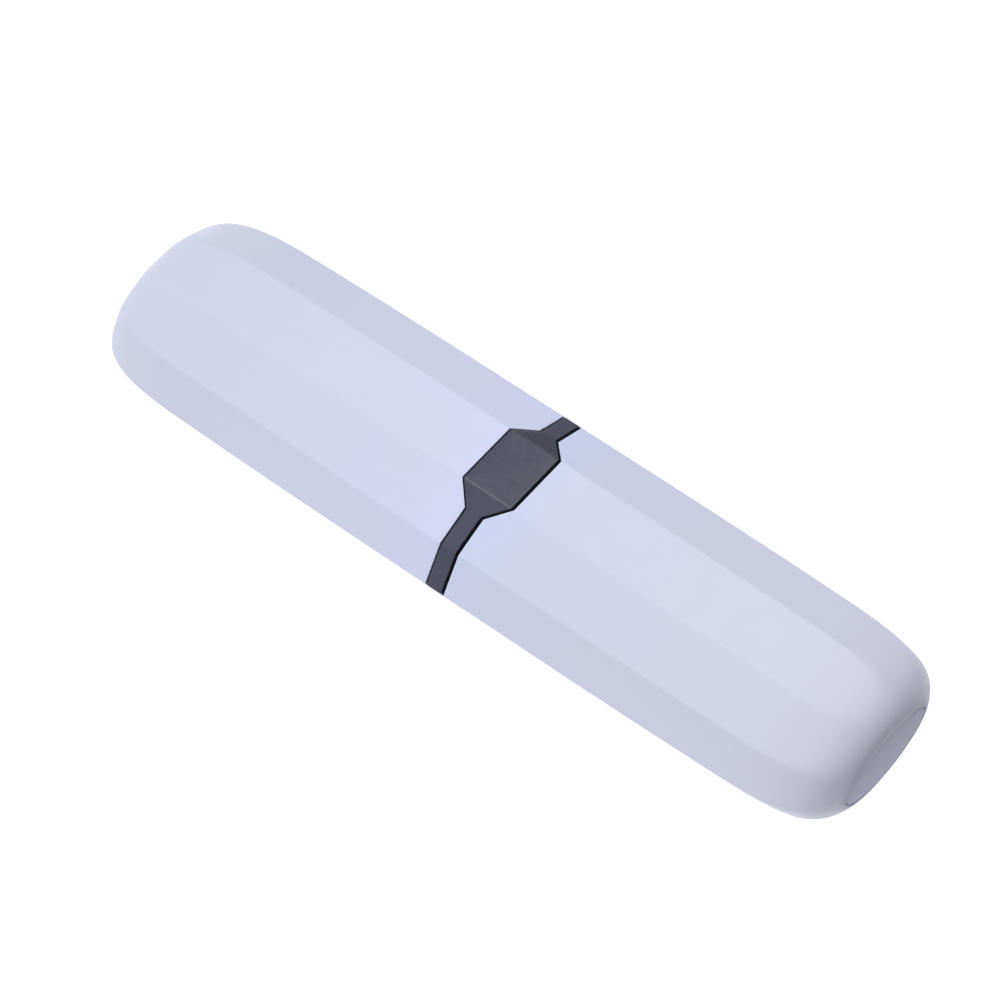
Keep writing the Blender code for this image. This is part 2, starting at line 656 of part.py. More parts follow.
make_base()
make_cap()
make_collar()
make_key()
make_tray()
make_lamp()
make_boards()
make_ribbons()
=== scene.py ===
import json
from math import cos, pi, radians, sin, sqrt

import bmesh
import bpy
import numpy as np
from mathutils import Matrix, Vector


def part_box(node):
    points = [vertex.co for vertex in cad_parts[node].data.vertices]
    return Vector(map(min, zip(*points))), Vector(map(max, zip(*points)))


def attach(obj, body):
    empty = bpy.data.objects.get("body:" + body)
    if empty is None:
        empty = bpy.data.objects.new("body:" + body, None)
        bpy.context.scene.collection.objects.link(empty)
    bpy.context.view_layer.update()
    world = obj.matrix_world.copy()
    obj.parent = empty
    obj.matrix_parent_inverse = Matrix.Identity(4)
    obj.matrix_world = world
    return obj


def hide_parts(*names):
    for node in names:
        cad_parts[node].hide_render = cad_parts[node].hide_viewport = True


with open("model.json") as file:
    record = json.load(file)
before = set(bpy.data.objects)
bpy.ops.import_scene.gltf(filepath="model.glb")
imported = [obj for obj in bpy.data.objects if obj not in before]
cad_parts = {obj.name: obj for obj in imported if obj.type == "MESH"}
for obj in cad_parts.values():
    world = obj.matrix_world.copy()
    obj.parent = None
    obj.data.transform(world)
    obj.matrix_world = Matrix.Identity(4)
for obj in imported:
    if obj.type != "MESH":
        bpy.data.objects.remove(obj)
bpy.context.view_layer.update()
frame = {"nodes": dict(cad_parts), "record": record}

# ---- Sizes ----------------------------------------------------------------------------------
# Millimetres, with x along the case from its middle, and y and z from its long axis. A side is
# 1 for the base's half and -1 for the cap's. An inset is how deep below the surface a point is.

MM = 0.001
SIDES = 10
HALF_STEP = pi / SIDES
WALL = 2.0
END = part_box("base_shell")[1].x / MM
AXIS_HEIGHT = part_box("base_shell")[1].z / MM / 2

# The ten-sided section at the middle, and how far sideways the edges of its top facet and the
# next edges down are.
RADIUS_Y = 28.3
RADIUS_Z = AXIS_HEIGHT / cos(HALF_STEP)
MEAN_RADIUS = 20.0  # for the slope of the surface where it rounds
EDGE_Y = RADIUS_Y * sin(HALF_STEP)
NEXT_EDGE_Y = RADIUS_Y * sin(3 * HALF_STEP)

# How the section shrinks towards an end: a slight barrel outside the straight middle, a tuck
# over a span, and the end's round, a superellipse of two powers.
STRAIGHT_HALF = 26.0
BARREL = 0.043
TUCK = 0.036
TUCK_SPAN = (80.0, 100.0)
ROUND_START = 71.0
ROUND_REACH = 36.13
ROUND_LONG = 5.3
ROUND_CROSS = 3.74

# How round the ten edges are: a high power is crisp, and a low one has melted away. The section
# swells a little where it melts, because round edges take some of its width.
CRISP = 330.0
MELT_START = 80.0
MELTED = {1: 13.0, -1: 24.0}
SWELL = {1: 0.040, -1: 0.023}

# Where the shells stop: at the belt (MOUTH), and beside the key on top (PANEL). In between, the
# belt's wings taper to WING_Y.
MOUTH = 2.65
PANEL = 7.45
WING_SHARE = 0.36
WING_Y = EDGE_Y + WING_SHARE * (NEXT_EDGE_Y - EDGE_Y)
KEY = tuple(corner.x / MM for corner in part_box("button_key"))
CAP_GAP = PANEL + KEY[0]
BASE_GAP = PANEL - KEY[1]
LIP = 0.14  # the round on a shell's edge

# The thin near-black strips on both sides of the belt: painted shade that stands for the shadow in
# the parting gaps.
GAP_SHADE_WIDE = 0.30  # the one towards the base
CAP_LINE = 0.08  # how far the one towards the cap reaches into the belt
GAP_SHADE_SUNK = 0.22  # the inset of a strip's middle, its shoulders and its foot
GAP_SHADE_SHOULDER = 0.30
GAP_SHADE_DEEP = 0.9
GAP_SHADE_PLAY = 0.04  # between a strip and what it lies against


# ---- The case's surface ---------------------------------------------------------------------

def make_turns():
    """Places round the case, close together at the ten edges and where the wings end."""
    steps = (0.35, 0.8, 1.35, 2.1, 3.2, 5.2, 8.5, 13.0)
    half_step = 180.0 / SIDES
    turns = []
    for k in range(SIDES):
        edge = (2 * k + 1) * half_step
        turns += [edge - half_step, edge]
        turns += [edge + sign * step for sign in (-1, 1) for step in steps]
    share = np.array([sin(HALF_STEP), cos(HALF_STEP)]) * (1 - WING_SHARE)
    share += np.array([sin(3 * HALF_STEP), cos(3 * HALF_STEP)]) * WING_SHARE
    wing_turn = np.degrees(np.arctan2(share[0], share[1]))
    for side in (-1, 1):
        near = side * wing_turn % 360
        turns = [turn for turn in turns if abs(turn - near) > 1.0] + [near]
    return np.radians(np.array(sorted(set(round(turn % 360, 4) for turn in turns))))


TURNS = make_turns()


def eased(share):
    """A share from 0 to 1, which starts and stops gently."""
    share = np.clip(share, 0, 1)
    return share * share * (3 - 2 * share)


def section_scale(x):
    """The section's size at x, against its size at the middle."""
    x = np.abs(x)
    barrel = 1 - BARREL * (np.maximum(0.0, x - STRAIGHT_HALF) / (END - STRAIGHT_HALF)) ** 2
    start, stop = TUCK_SPAN
    tuck = TUCK * eased((x - start) / (stop - start))
    reach = np.maximum(0.0, x - ROUND_START) / ROUND_REACH
    return (barrel - tuck) * (1 - reach**ROUND_LONG) ** (1 / ROUND_CROSS)


def outline(x, inset=0.0, scale=None):
    """A ring of points round the case at x, which may differ from turn to turn."""
    x = np.broadcast_to(np.asarray(x, float), TURNS.shape)
    scale = section_scale(x) if scale is None else np.broadcast_to(scale, TURNS.shape)
    side = 1 if x.mean() > 0 else -1
    melted = eased((np.abs(x) - MELT_START) / (END - MELT_START))
    power = CRISP * (MELTED[side] / CRISP) ** melted
    across, up = RADIUS_Y * np.sin(TURNS), RADIUS_Z * np.cos(TURNS)
    facing = []
    for k in range(SIDES):
        normal = np.array([sin(2 * k * HALF_STEP) / RADIUS_Y, cos(2 * k * HALF_STEP) / RADIUS_Z])
        size = np.linalg.norm(normal)
        distance = cos(HALF_STEP) / size * scale * (1 + SWELL[side] * melted) - inset
        facing.append(np.maximum(across * normal[0] + up * normal[1], 0) / size / distance)
    facing = np.array(facing)
    most = facing.max(axis=0)
    reach = 1 / most / ((facing / most) ** power).sum(axis=0) ** (1 / power)
    return np.stack([x, across * reach, up * reach], axis=-1)


def inner_outline(x, inset):
    """The ring a distance inset in from the surface at x."""
    side = 1 if x > 0 else -1
    step = 0.1
    slope = MEAN_RADIUS * (section_scale(x) - section_scale(x - side * step)) / step
    steep = sqrt(1 + slope * slope)
    ring = outline(x, inset / steep)
    ring[:, 0] += side * inset * slope / steep
    return ring


def between(a, b, shares):
    return [a + (b - a) * share for share in shares]


def rolled(radius, turns):
    """How far along and how deep in a quarter round is, at turns in degrees over it."""
    return [(radius * (1 - sin(radians(turn))), radius * (1 - cos(radians(turn))))
            for turn in turns]


EDGE_TURNS = (0, 22, 45, 67, 90)  # over the round on a shell's or the belt's edge


def band_limit(at_belt, at_key, inset=0.0):
    """Where the belt's edge runs: near the middle, but further out beside the key on top.

    It depends on how far sideways a point is, so its walls go straight down.
    """
    on_top = np.cos(TURNS) > 0
    sideways = np.abs(outline(STRAIGHT_HALF, inset)[:, 1])
    share = np.clip((WING_Y - sideways) / (WING_Y - EDGE_Y), 0, 1) * on_top
    return at_belt + (at_key - at_belt) * share


# ---- Meshes ---------------------------------------------------------------------------------

def new_object(name, mesh):
    """Puts a mesh into the scene."""
    piece = bpy.data.objects.new(name, mesh)
    bpy.context.scene.collection.objects.link(piece)
    return piece


def raised(points):
    """From millimetres off the case's axis to metres above the floor."""
    points = np.array(points, float) * MM
    points[..., 2] += AXIS_HEIGHT * MM
    return points


def skin(name, rings, closed=False, smooth=50):
    """A solid through rings of points, which ends in a fan at both ends or closes on itself."""
    mesh = bpy.data.meshes.new(name)
    shape = bmesh.new()
    rows = [[shape.verts.new(point) for point in raised(ring)] for ring in rings]
    pairs = list(zip(rows, rows[1:])) + ([(rows[-1], rows[0])] if closed else [])
    for here, ahead in pairs:
        for k in range(len(here)):
            shape.faces.new((here[k - 1], here[k], ahead[k], ahead[k - 1]))
    if not closed:
        for row in (rows[0], rows[-1]):
            middle = shape.verts.new(sum((vert.co for vert in row), Vector()) / len(row))
            for k in range(len(row)):
                shape.faces.new((row[k - 1], row[k], middle))
    bmesh.ops.recalc_face_normals(shape, faces=shape.faces)
    shape.to_mesh(mesh)
    shape.free()
    mesh.shade_smooth()
    mesh.set_sharp_from_angle(angle=radians(smooth))
    return new_object(name, mesh)


def rounded_rectangle(half_wide, half_tall, radius, steps):
    """Points round a rectangle with round corners, once round from the right."""
    points = []
    for quarter, (across, up) in enumerate(((1, 1), (-1, 1), (-1, -1), (1, -1))):
        for step in range(steps + 1):
            turn = (quarter + step / steps) * pi / 2
            points.append((across * (half_wide - radius) + radius * cos(turn),
                           up * (half_tall - radius) + radius * sin(turn)))
    return np.array(points)


AXES = {"X": (0, 1, 2), "Z": (2, 0, 1)}  # along, and the two directions across
WELD = 2e-6  # points closer than this, in metres, are one
LEAST_CORNER = 0.01  # a corner's radius where a soft rim has used it up


def slab(name, axis, centre, size, span, radius, soft=(0.0, 0.0), steps=6, curl=4):
    """A plate with round corners across axis, and its two rims softened by soft's amounts."""
    along, first, second = AXES[axis]
    rings = []
    for end, amount, inwards in ((span[0], soft[0], 1), (span[1], soft[1], -1)):
        turns = [0.0] if amount == 0 else [k * pi / 2 / curl for k in range(curl + 1)]
        rows = []
        for turn in turns:
            inset = amount * (1 - cos(turn))
            shift = amount * (1 - sin(turn))
            corner = max(radius - inset, LEAST_CORNER)
            flat = rounded_rectangle(size[0] / 2 - inset, size[1] / 2 - inset, corner, steps)
            ring = np.zeros((len(flat), 3))
            ring[:, along] = end + inwards * shift
            ring[:, first] = centre[0] + flat[:, 0]
            ring[:, second] = centre[1] + flat[:, 1]
            rows.append(ring)
        rings += rows[::-1] if end == span[0] else rows
    return skin(name, rings)


def turned(name, axis, centre, profile, sides):
    """A solid of revolution: profile is (along, radius) from one end to the other."""
    along, first, second = AXES[axis]
    turns = np.arange(sides) * 2 * pi / sides
    rings = []
    for place, radius in profile:
        ring = np.zeros((sides, 3))
        ring[:, along] = place
        ring[:, first] = centre[0] + radius * np.cos(turns)
        ring[:, second] = centre[1] + radius * np.sin(turns)
        rings.append(ring)
    return skin(name, rings, smooth=40)


def apply_boolean(piece, tools, operation):
    """Joins the tools to a piece or cuts them out of it, and removes them."""
    for tool in tools:
        modifier = piece.modifiers.new("shape", "BOOLEAN")
        modifier.operation = operation
        modifier.solver = "EXACT"
        modifier.object = tool
    depsgraph = bpy.context.evaluated_depsgraph_get()
    mesh = bpy.data.meshes.new_from_object(piece.evaluated_get(depsgraph))
    shape = bmesh.new()
    shape.from_mesh(mesh)
    bmesh.ops.remove_doubles(shape, verts=shape.verts, dist=WELD)
    bmesh.ops.dissolve_degenerate(shape, edges=shape.edges, dist=WELD)
    shape.to_mesh(mesh)
    shape.free()
    piece.modifiers.clear()
    piece.data = mesh
    for tool in tools:
        bpy.data.objects.remove(tool, do_unlink=True)


def cut(piece, *tools):
    apply_boolean(piece, tools, "DIFFERENCE")


def join(piece, *tools):
    apply_boolean(piece, tools, "UNION")


# ---- Materials ------------------------------------------------------------------------------

class Paint:
    """A node material under construction, with short ways to add what most of them need."""

    def __init__(self, name, roughness=0.5, metallic=0.0, **constants):
        self.material = bpy.data.materials.new(name)
        self.material.use_nodes = True
        self.nodes = self.material.node_tree.nodes
        self.links = self.material.node_tree.links
        self.shader = self.nodes["Principled BSDF"]
        self.shader.inputs["Roughness"].default_value = roughness
        self.shader.inputs["Metallic"].default_value = metallic
        for socket, value in constants.items():
            self.shader.inputs[socket.replace("_", " ")].default_value = value
        self.place = self.nodes.new("ShaderNodeTexCoord").outputs["Object"]
        self.height = None

    def node(self, kind, **settings):
        made = self.nodes.new(kind)
        for key, value in settings.items():
            setattr(made, key, value)
        return made

    def link(self, source, target):
        self.links.new(source, target)

    def stretched(self, scale):
        """Object coordinates at another scale along each axis, for brushed textures."""
        mapping = self.node("ShaderNodeMapping")
        mapping.inputs["Scale"].default_value = scale
        self.link(self.place, mapping.inputs["Vector"])
        return mapping.outputs["Vector"]

    def noise(self, scale, detail=3.0, rough=0.55, place=None):
        made = self.node("ShaderNodeTexNoise")
        made.inputs["Scale"].default_value = scale
        made.inputs["Detail"].default_value = detail
        made.inputs["Roughness"].default_value = rough
        self.link(place or self.place, made.inputs["Vector"])
        return made.outputs["Fac"]

    def spread(self, value, low, high, to_low=0.0, to_high=1.0, smooth=True):
        """Maps low to high onto to_low to to_high, and eases in and out when smooth."""
        made = self.node("ShaderNodeMapRange")
        if smooth:
            made.interpolation_type = "SMOOTHSTEP"
        for socket, number in zip(("From Min", "From Max", "To Min", "To Max"),
                                  (low, high, to_low, to_high)):
            made.inputs[socket].default_value = number
        self.link(value, made.inputs["Value"])
        return made.outputs["Result"]

    def maths(self, operation, a, b=0.0):
        made = self.node("ShaderNodeMath", operation=operation)
        for socket, value in zip(made.inputs, (a, b)):
            if isinstance(value, (int, float)):
                socket.default_value = value
            else:
                self.link(value, socket)
        return made.outputs[0]

    def blend(self, share, a, b):
        """Between two colours, each a colour or a socket, by share."""
        made = self.node("ShaderNodeMix", data_type="RGBA")
        self.link(share, made.inputs[0])
        for socket, value in ((made.inputs[6], a), (made.inputs[7], b)):
            if isinstance(value, tuple):
                socket.default_value = (*value, 1.0)
            else:
                self.link(value, socket)
        return made.outputs[2]

    def axis(self, letter):
        made = self.node("ShaderNodeSeparateXYZ")
        self.link(self.place, made.inputs[0])
        return made.outputs[letter]

    def tints(self, value, stops):
        """A colour that changes along value, from stops of a place in metres and its colour."""
        low, high = stops[0][0], stops[-1][0]
        made = self.node("ShaderNodeValToRGB")
        marks = made.color_ramp.elements
        while len(marks) < len(stops):
            marks.new(0.5)
        for mark, (place, colour) in zip(marks, stops):
            mark.position = (place - low) / (high - low)
            mark.color = (*colour, 1.0)
        self.link(self.spread(value, low, high, smooth=False), made.inputs[0])
        return made.outputs["Color"]

    def colour(self, socket):
        self.link(socket, self.shader.inputs["Base Color"])

    def roughness(self, value, low, high):
        """Roughness from low to high as a noise value goes over its usual range."""
        self.link(self.spread(value, 0.3, 0.7, low, high), self.shader.inputs["Roughness"])

    def bump(self, height, distance, strength=1.0):
        """Adds a bump on top of the ones before it."""
        made = self.node("ShaderNodeBump")
        made.inputs["Strength"].default_value = strength
        made.inputs["Distance"].default_value = distance
        self.link(height, made.inputs["Height"])
        if self.height:
            self.link(self.height, made.inputs["Normal"])
        self.height = made.outputs["Normal"]
        self.link(self.height, self.shader.inputs["Normal"])


CLOUD_TINT = (0.605, 0.625, 0.770)


def ice_plastic(name, along):
    """Satin moulded plastic, pale blue, whose tint drifts along the case as along says; the base's
    tints end in painted shade on the rim round its foot pad.
    """
    paint = Paint(name, IOR=1.48)
    drift = paint.tints(paint.axis("X"), along)
    cloud = paint.spread(paint.noise(42.0, 2.0), 0.35, 0.65, 0.0, 0.35)
    paint.colour(paint.blend(cloud, drift, CLOUD_TINT))
    paint.roughness(paint.noise(260.0, 4.0), 0.34, 0.42)
    paint.bump(paint.noise(5200.0, 2.0), 0.000010, 0.5)
    paint.bump(paint.noise(60.0, 1.0), 0.00006, 0.25)
    return paint.material


# Places on the slate plastic, in metres: the darker wing's painted shade starts and stops along y,
# and the key's long edges, which carry a painted highlight, meet the wings at RIDGE_Y.
# Painted shade: where the slate wing beyond the key's far edge is darkened.
WING_SHADE_STARTS = (0.0088, 0.0095)
WING_SHADE_STOPS = (0.0125, 0.0160)
WING_SHADE = (0.016, 0.019, 0.044)
RIDGE_Y = 0.0087
RIDGE_WIDTH = (0.00008, 0.00030)
RIDGE_HEIGHT = (0.0318, 0.0326)
RIDGE_HIGHLIGHT = (0.85, 0.2)  # the painted highlight's strength on the near and on the far edge
# The colour of rubbed edges and of painted highlights.
WEAR_AND_HIGHLIGHT_TINT = (0.16, 0.16, 0.19)


def slate_plastic(name, low, high):
    """Dark spark-textured plastic whose edges are lighter, partly from rubbed wear and partly from
    painted highlight, with painted shade on the wing beyond the key's far edge.
    """
    paint = Paint(name, IOR=1.5)
    cloud = paint.spread(paint.noise(130.0, 3.0), 0.35, 0.65)
    colour = paint.blend(cloud, low, high)
    # Edges lighter by pointiness: partly rubbed wear, partly painted highlight.
    pointed = paint.node("ShaderNodeNewGeometry").outputs["Pointiness"]
    wear_and_highlight = paint.spread(pointed, 0.52, 0.62, 0.0, 0.6)

    # Painted shade: the wing beyond the key's far edge is darkened where the key shades it.
    sideways = paint.axis("Y")
    shade = paint.maths("MULTIPLY", paint.spread(sideways, *WING_SHADE_STARTS),
                        paint.spread(sideways, *WING_SHADE_STOPS, 1.0, 0.0))
    colour = paint.blend(shade, colour, WING_SHADE)

    # Painted highlight: a lighter line along the key's long edges, stronger on the near edge.
    beyond = paint.maths("SUBTRACT", paint.maths("ABSOLUTE", sideways), RIDGE_Y)
    off_ridge = paint.maths("ABSOLUTE", beyond)
    ridge = paint.maths("MULTIPLY", paint.spread(off_ridge, *RIDGE_WIDTH, 1.0, 0.0),
                        paint.spread(sideways, -0.001, 0.001, *RIDGE_HIGHLIGHT))
    ridge = paint.maths("MULTIPLY", ridge, paint.spread(paint.axis("Z"), *RIDGE_HEIGHT))
    wear_and_highlight = paint.maths("MAXIMUM", wear_and_highlight, ridge)
    paint.colour(paint.blend(wear_and_highlight, colour, WEAR_AND_HIGHLIGHT_TINT))
    paint.roughness(paint.noise(900.0, 3.0), 0.30, 0.40)
    paint.bump(paint.noise(4200.0, 2.0), 0.000018, 0.6)
    return paint.material


def inner_plastic(name):
    """Plain white moulded plastic for the parts inside."""
    paint = Paint(name, IOR=1.48)
    cloud = paint.spread(paint.noise(70.0, 3.0), 0.3, 0.7)
    paint.colour(paint.blend(cloud, (0.70, 0.72, 0.76), (0.78, 0.79, 0.82)))
    paint.roughness(paint.noise(500.0, 4.0), 0.38, 0.5)
    paint.bump(paint.noise(3600.0, 2.0), 0.000015, 0.5)
    return paint.material


def silicone(name, low, high, gloss=0.5):
    """Matt rubber with a faint bloom and fine mould texture."""
    paint = Paint(name, IOR=1.43, Specular_IOR_Level=gloss)
    cloud = paint.spread(paint.noise(160.0, 4.0, 0.65), 0.35, 0.65)
    paint.colour(paint.blend(cloud, low, high))
    paint.roughness(paint.noise(700.0, 3.0), 0.55, 0.72)
    paint.bump(paint.noise(2600.0, 3.0), 0.00002, 0.6)
    return paint.material


def circuit_board(name, mask, track):
    """Solder mask over raised tracks, with scattered gold pads."""
    paint = Paint(name, IOR=1.5)
    wave = paint.node("ShaderNodeTexWave", wave_type="BANDS", bands_direction="Y")
    wave.inputs["Scale"].default_value = 95.0
    wave.inputs["Distortion"].default_value = 2.2
    wave.inputs["Detail Scale"].default_value = 0.6
    paint.link(paint.place, wave.inputs["Vector"])
    tracks = paint.spread(wave.outputs["Fac"], 0.62, 0.72)
    cells = paint.node("ShaderNodeTexVoronoi", feature="F1")
    cells.inputs["Scale"].default_value = 330.0
    paint.link(paint.place, cells.inputs["Vector"])
    pads = paint.spread(cells.outputs["Distance"], 0.16, 0.12)
    gold = (0.72, 0.62, 0.38)
    paint.colour(paint.blend(pads, paint.blend(tracks, mask, track), gold))
    paint.roughness(paint.noise(800.0), 0.25, 0.4)
    paint.bump(tracks, 0.00003, 0.7)
    return paint.material


def steel(name):
    """Bright zinc-plated steel, faintly brushed."""
    paint = Paint(name, metallic=1.0)
    grain = paint.noise(900.0, 4.0, 0.6, paint.stretched((1.0, 6.0, 6.0)))
    paint.colour(paint.blend(paint.spread(grain, 0.3, 0.7),
                             (0.52, 0.52, 0.54), (0.68, 0.68, 0.69)))
    paint.roughness(grain, 0.22, 0.38)
    paint.bump(grain, 0.000006, 0.5)
    return paint.material


def reflector(name):
    """Polished aluminium, finely brushed along y."""
    paint = Paint(name, metallic=1.0)
    grain = paint.noise(700.0, 3.0, 0.6, paint.stretched((1.0, 9.0, 1.0)))
    paint.colour(paint.blend(paint.spread(grain, 0.3, 0.7),
                             (0.84, 0.85, 0.88), (0.92, 0.92, 0.94)))
    paint.roughness(grain, 0.08, 0.2)
    paint.bump(grain, 0.000004, 0.4)
    return paint.material


def quartz(name):
    """Clear window, with faint smears."""
    paint = Paint(name, IOR=1.46, Transmission_Weight=1.0)
    smear = paint.noise(120.0, 5.0, 0.6, paint.stretched((1.0, 2.5, 1.0)))
    paint.colour(paint.blend(paint.spread(smear, 0.3, 0.7),
                             (0.90, 0.94, 0.99), (0.95, 0.97, 1.0)))
    paint.roughness(smear, 0.02, 0.12)
    return paint.material


def foil(name):
    """Laminated aluminium pouch with shallow creases."""
    paint = Paint(name, metallic=0.85)
    cells = paint.node("ShaderNodeTexVoronoi", feature="DISTANCE_TO_EDGE")
    cells.inputs["Scale"].default_value = 190.0
    paint.link(paint.place, cells.inputs["Vector"])
    creases = paint.spread(cells.outputs["Distance"], 0.0, 0.09)
    paint.colour(paint.blend(creases, (0.55, 0.57, 0.60), (0.72, 0.74, 0.76)))
    paint.roughness(paint.noise(300.0, 4.0), 0.26, 0.42)
    paint.bump(creases, 0.00005, 0.5)
    paint.bump(paint.noise(90.0, 3.0), 0.0001, 0.4)
    return paint.material


def epoxy(name):
    """Speckled black moulding compound."""
    paint = Paint(name, IOR=1.55)
    speckle = paint.noise(3000.0, 3.0)
    paint.colour(paint.blend(paint.spread(speckle, 0.35, 0.7),
                             (0.014, 0.014, 0.016), (0.035, 0.035, 0.038)))
    paint.roughness(speckle, 0.42, 0.6)
    paint.bump(speckle, 0.00001, 0.5)
    return paint.material


def foam(name):
    """Dark open-celled foam."""
    paint = Paint(name)
    cells = paint.node("ShaderNodeTexVoronoi", feature="F1")
    cells.inputs["Scale"].default_value = 2200.0
    paint.link(paint.place, cells.inputs["Vector"])
    pores = paint.spread(cells.outputs["Distance"], 0.2, 0.6)
    paint.colour(paint.blend(pores, (0.035, 0.035, 0.04), (0.12, 0.12, 0.13)))
    paint.roughness(pores, 0.85, 0.95)
    paint.bump(pores, 0.00008, 0.8)
    return paint.material


def ribbon_cable(name):
    """Amber film over copper tracks that run along the ribbon."""
    paint = Paint(name, IOR=1.6)
    wave = paint.node("ShaderNodeTexWave", wave_type="BANDS", bands_direction="Y")
    wave.inputs["Scale"].default_value = 330.0
    paint.link(paint.place, wave.inputs["Vector"])
    tracks = paint.spread(wave.outputs["Fac"], 0.4, 0.6)
    paint.colour(paint.blend(tracks, (0.42, 0.16, 0.03), (0.80, 0.42, 0.12)))
    paint.roughness(paint.noise(400.0), 0.28, 0.4)
    paint.bump(tracks, 0.00002, 0.5)
    return paint.material


def lamp_body(name):
    """Warm white ceramic of a lamp's package."""
    paint = Paint(name, IOR=1.6)
    speckle = paint.noise(1500.0, 4.0)
    paint.colour(paint.blend(paint.spread(speckle, 0.3, 0.7),
                             (0.78, 0.72, 0.50), (0.86, 0.81, 0.62)))
    paint.roughness(speckle, 0.28, 0.42)
    paint.bump(speckle, 0.00001, 0.4)
    return paint.material


# The shells' tints at places along x in metres: bluest by the belt, where on the base the collar's
# sleeve shows through faintly, and darkest on the rim round the foot pad, a painted shade in the
# crease there.
CAP_TINTS = (
    (-0.106, (0.575, 0.605, 0.755)),
    (-0.050, (0.602, 0.633, 0.803)),
    (-0.005, (0.608, 0.644, 0.862)),
)
BASE_TINTS = (
    (0.002, (0.568, 0.628, 0.850)),
    (0.010, (0.572, 0.627, 0.835)),
    (0.016, (0.590, 0.624, 0.795)),
    (0.060, (0.600, 0.628, 0.775)),
    (0.1052, (0.612, 0.624, 0.745)),
    # Painted shade: the last stops darken the rim round the foot pad, in its crease.
    (0.1058, (0.555, 0.560, 0.700)),
    (0.1060, (0.43, 0.435, 0.57)),
)

# By material slot, and three more for pieces that look different from the rest of their slot.
MATERIALS = {
    "ice_shell": ice_plastic("ice_plastic_cap", CAP_TINTS),
    "base_ice": ice_plastic("ice_plastic_base", BASE_TINTS),
    "slate_trim": slate_plastic("slate_plastic", (0.034, 0.037, 0.070), (0.041, 0.042, 0.076)),
    "slate_key": slate_plastic("slate_plastic_key",
                               (0.022, 0.028, 0.060), (0.027, 0.031, 0.065)),
    "white_inner": inner_plastic("inner_white_plastic"),
    "soft_pad": silicone("pale_silicone", (0.53, 0.545, 0.70), (0.57, 0.585, 0.73)),
    "dark_seal": silicone("dark_silicone", (0.030, 0.030, 0.038), (0.055, 0.055, 0.066)),
    # Painted shade: near-black and barely reflecting, for the strips in the belt's parting gaps.
    "belt_gap_shade": silicone("black_gap_shade",
                          (0.006, 0.006, 0.008), (0.010, 0.010, 0.012), gloss=0.12),
    "circuit_board": circuit_board("green_board", (0.012, 0.10, 0.045), (0.03, 0.19, 0.09)),
    "lamp_board": circuit_board("white_board", (0.74, 0.75, 0.74), (0.82, 0.83, 0.81)),
    "steel": steel("plated_steel"),
    "reflector": reflector("polished_aluminium"),
    "quartz": quartz("quartz_window"),
    "cell_foil": foil("pouch_foil"),
    "chip_body": epoxy("black_epoxy"),
    "foam_tape": foam("grey_foam"),
    "ribbon_cable": ribbon_cable("amber_ribbon"),
    "lamp_body": lamp_body("lamp_ceramic"),
}


def finish_piece(piece, body, slot, nodes, material=None):
    """Gives a piece its slot's material, or material when that is given, puts it on its body and
    hides the CAD nodes that it stands for.
    """
    piece.data.materials.clear()
    piece.data.materials.append(MATERIALS[material or slot])
    for polygon in piece.data.polygons:
        polygon.material_index = 0
    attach(piece, body)
    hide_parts(*nodes)


# ---- The two shells -------------------------------------------------------------------------

FILLET_FROM = 1.3  # how far from the end its last round begins
NARROW = np.array([1.0, 0.5, 0.5])  # closes a flat end with a smaller ring of the same shape
CAP_FACE = 0.45  # how far in from the section the cap's flat end is

# The recess in the base's end: its rim's inset, the round on its edge, and its depth.
FOOT_RIM = 0.12
FOOT_LIP = 0.15
FOOT_DEEP = 1.2
FOOT_LOW = 0.765  # the height of its upper half against the case's section

# The foot pad in it, as (depth, inset) from its back to its face, and the rings over its face.
FOOT_PROFILE = ((0.9, 0.6), (0.8, 0.39), (0.4, 0.39), (0.2, 0.45), (0.07, 0.6), (0.0, 0.95))
FOOT_SHARES = (0.92, 0.6, 0.3)

# The bosses that the two cradle screws go into, as (z, radius), and their pilot holes.
CRADLE_BOSS_X = (35.0, 78.0)
CRADLE_BOSS = ((-15.0, 3.2), (-9.2, 3.0), (-9.0, 2.8))
CRADLE_PILOT = ((-13.0, 0.95), (-8.5, 0.95))


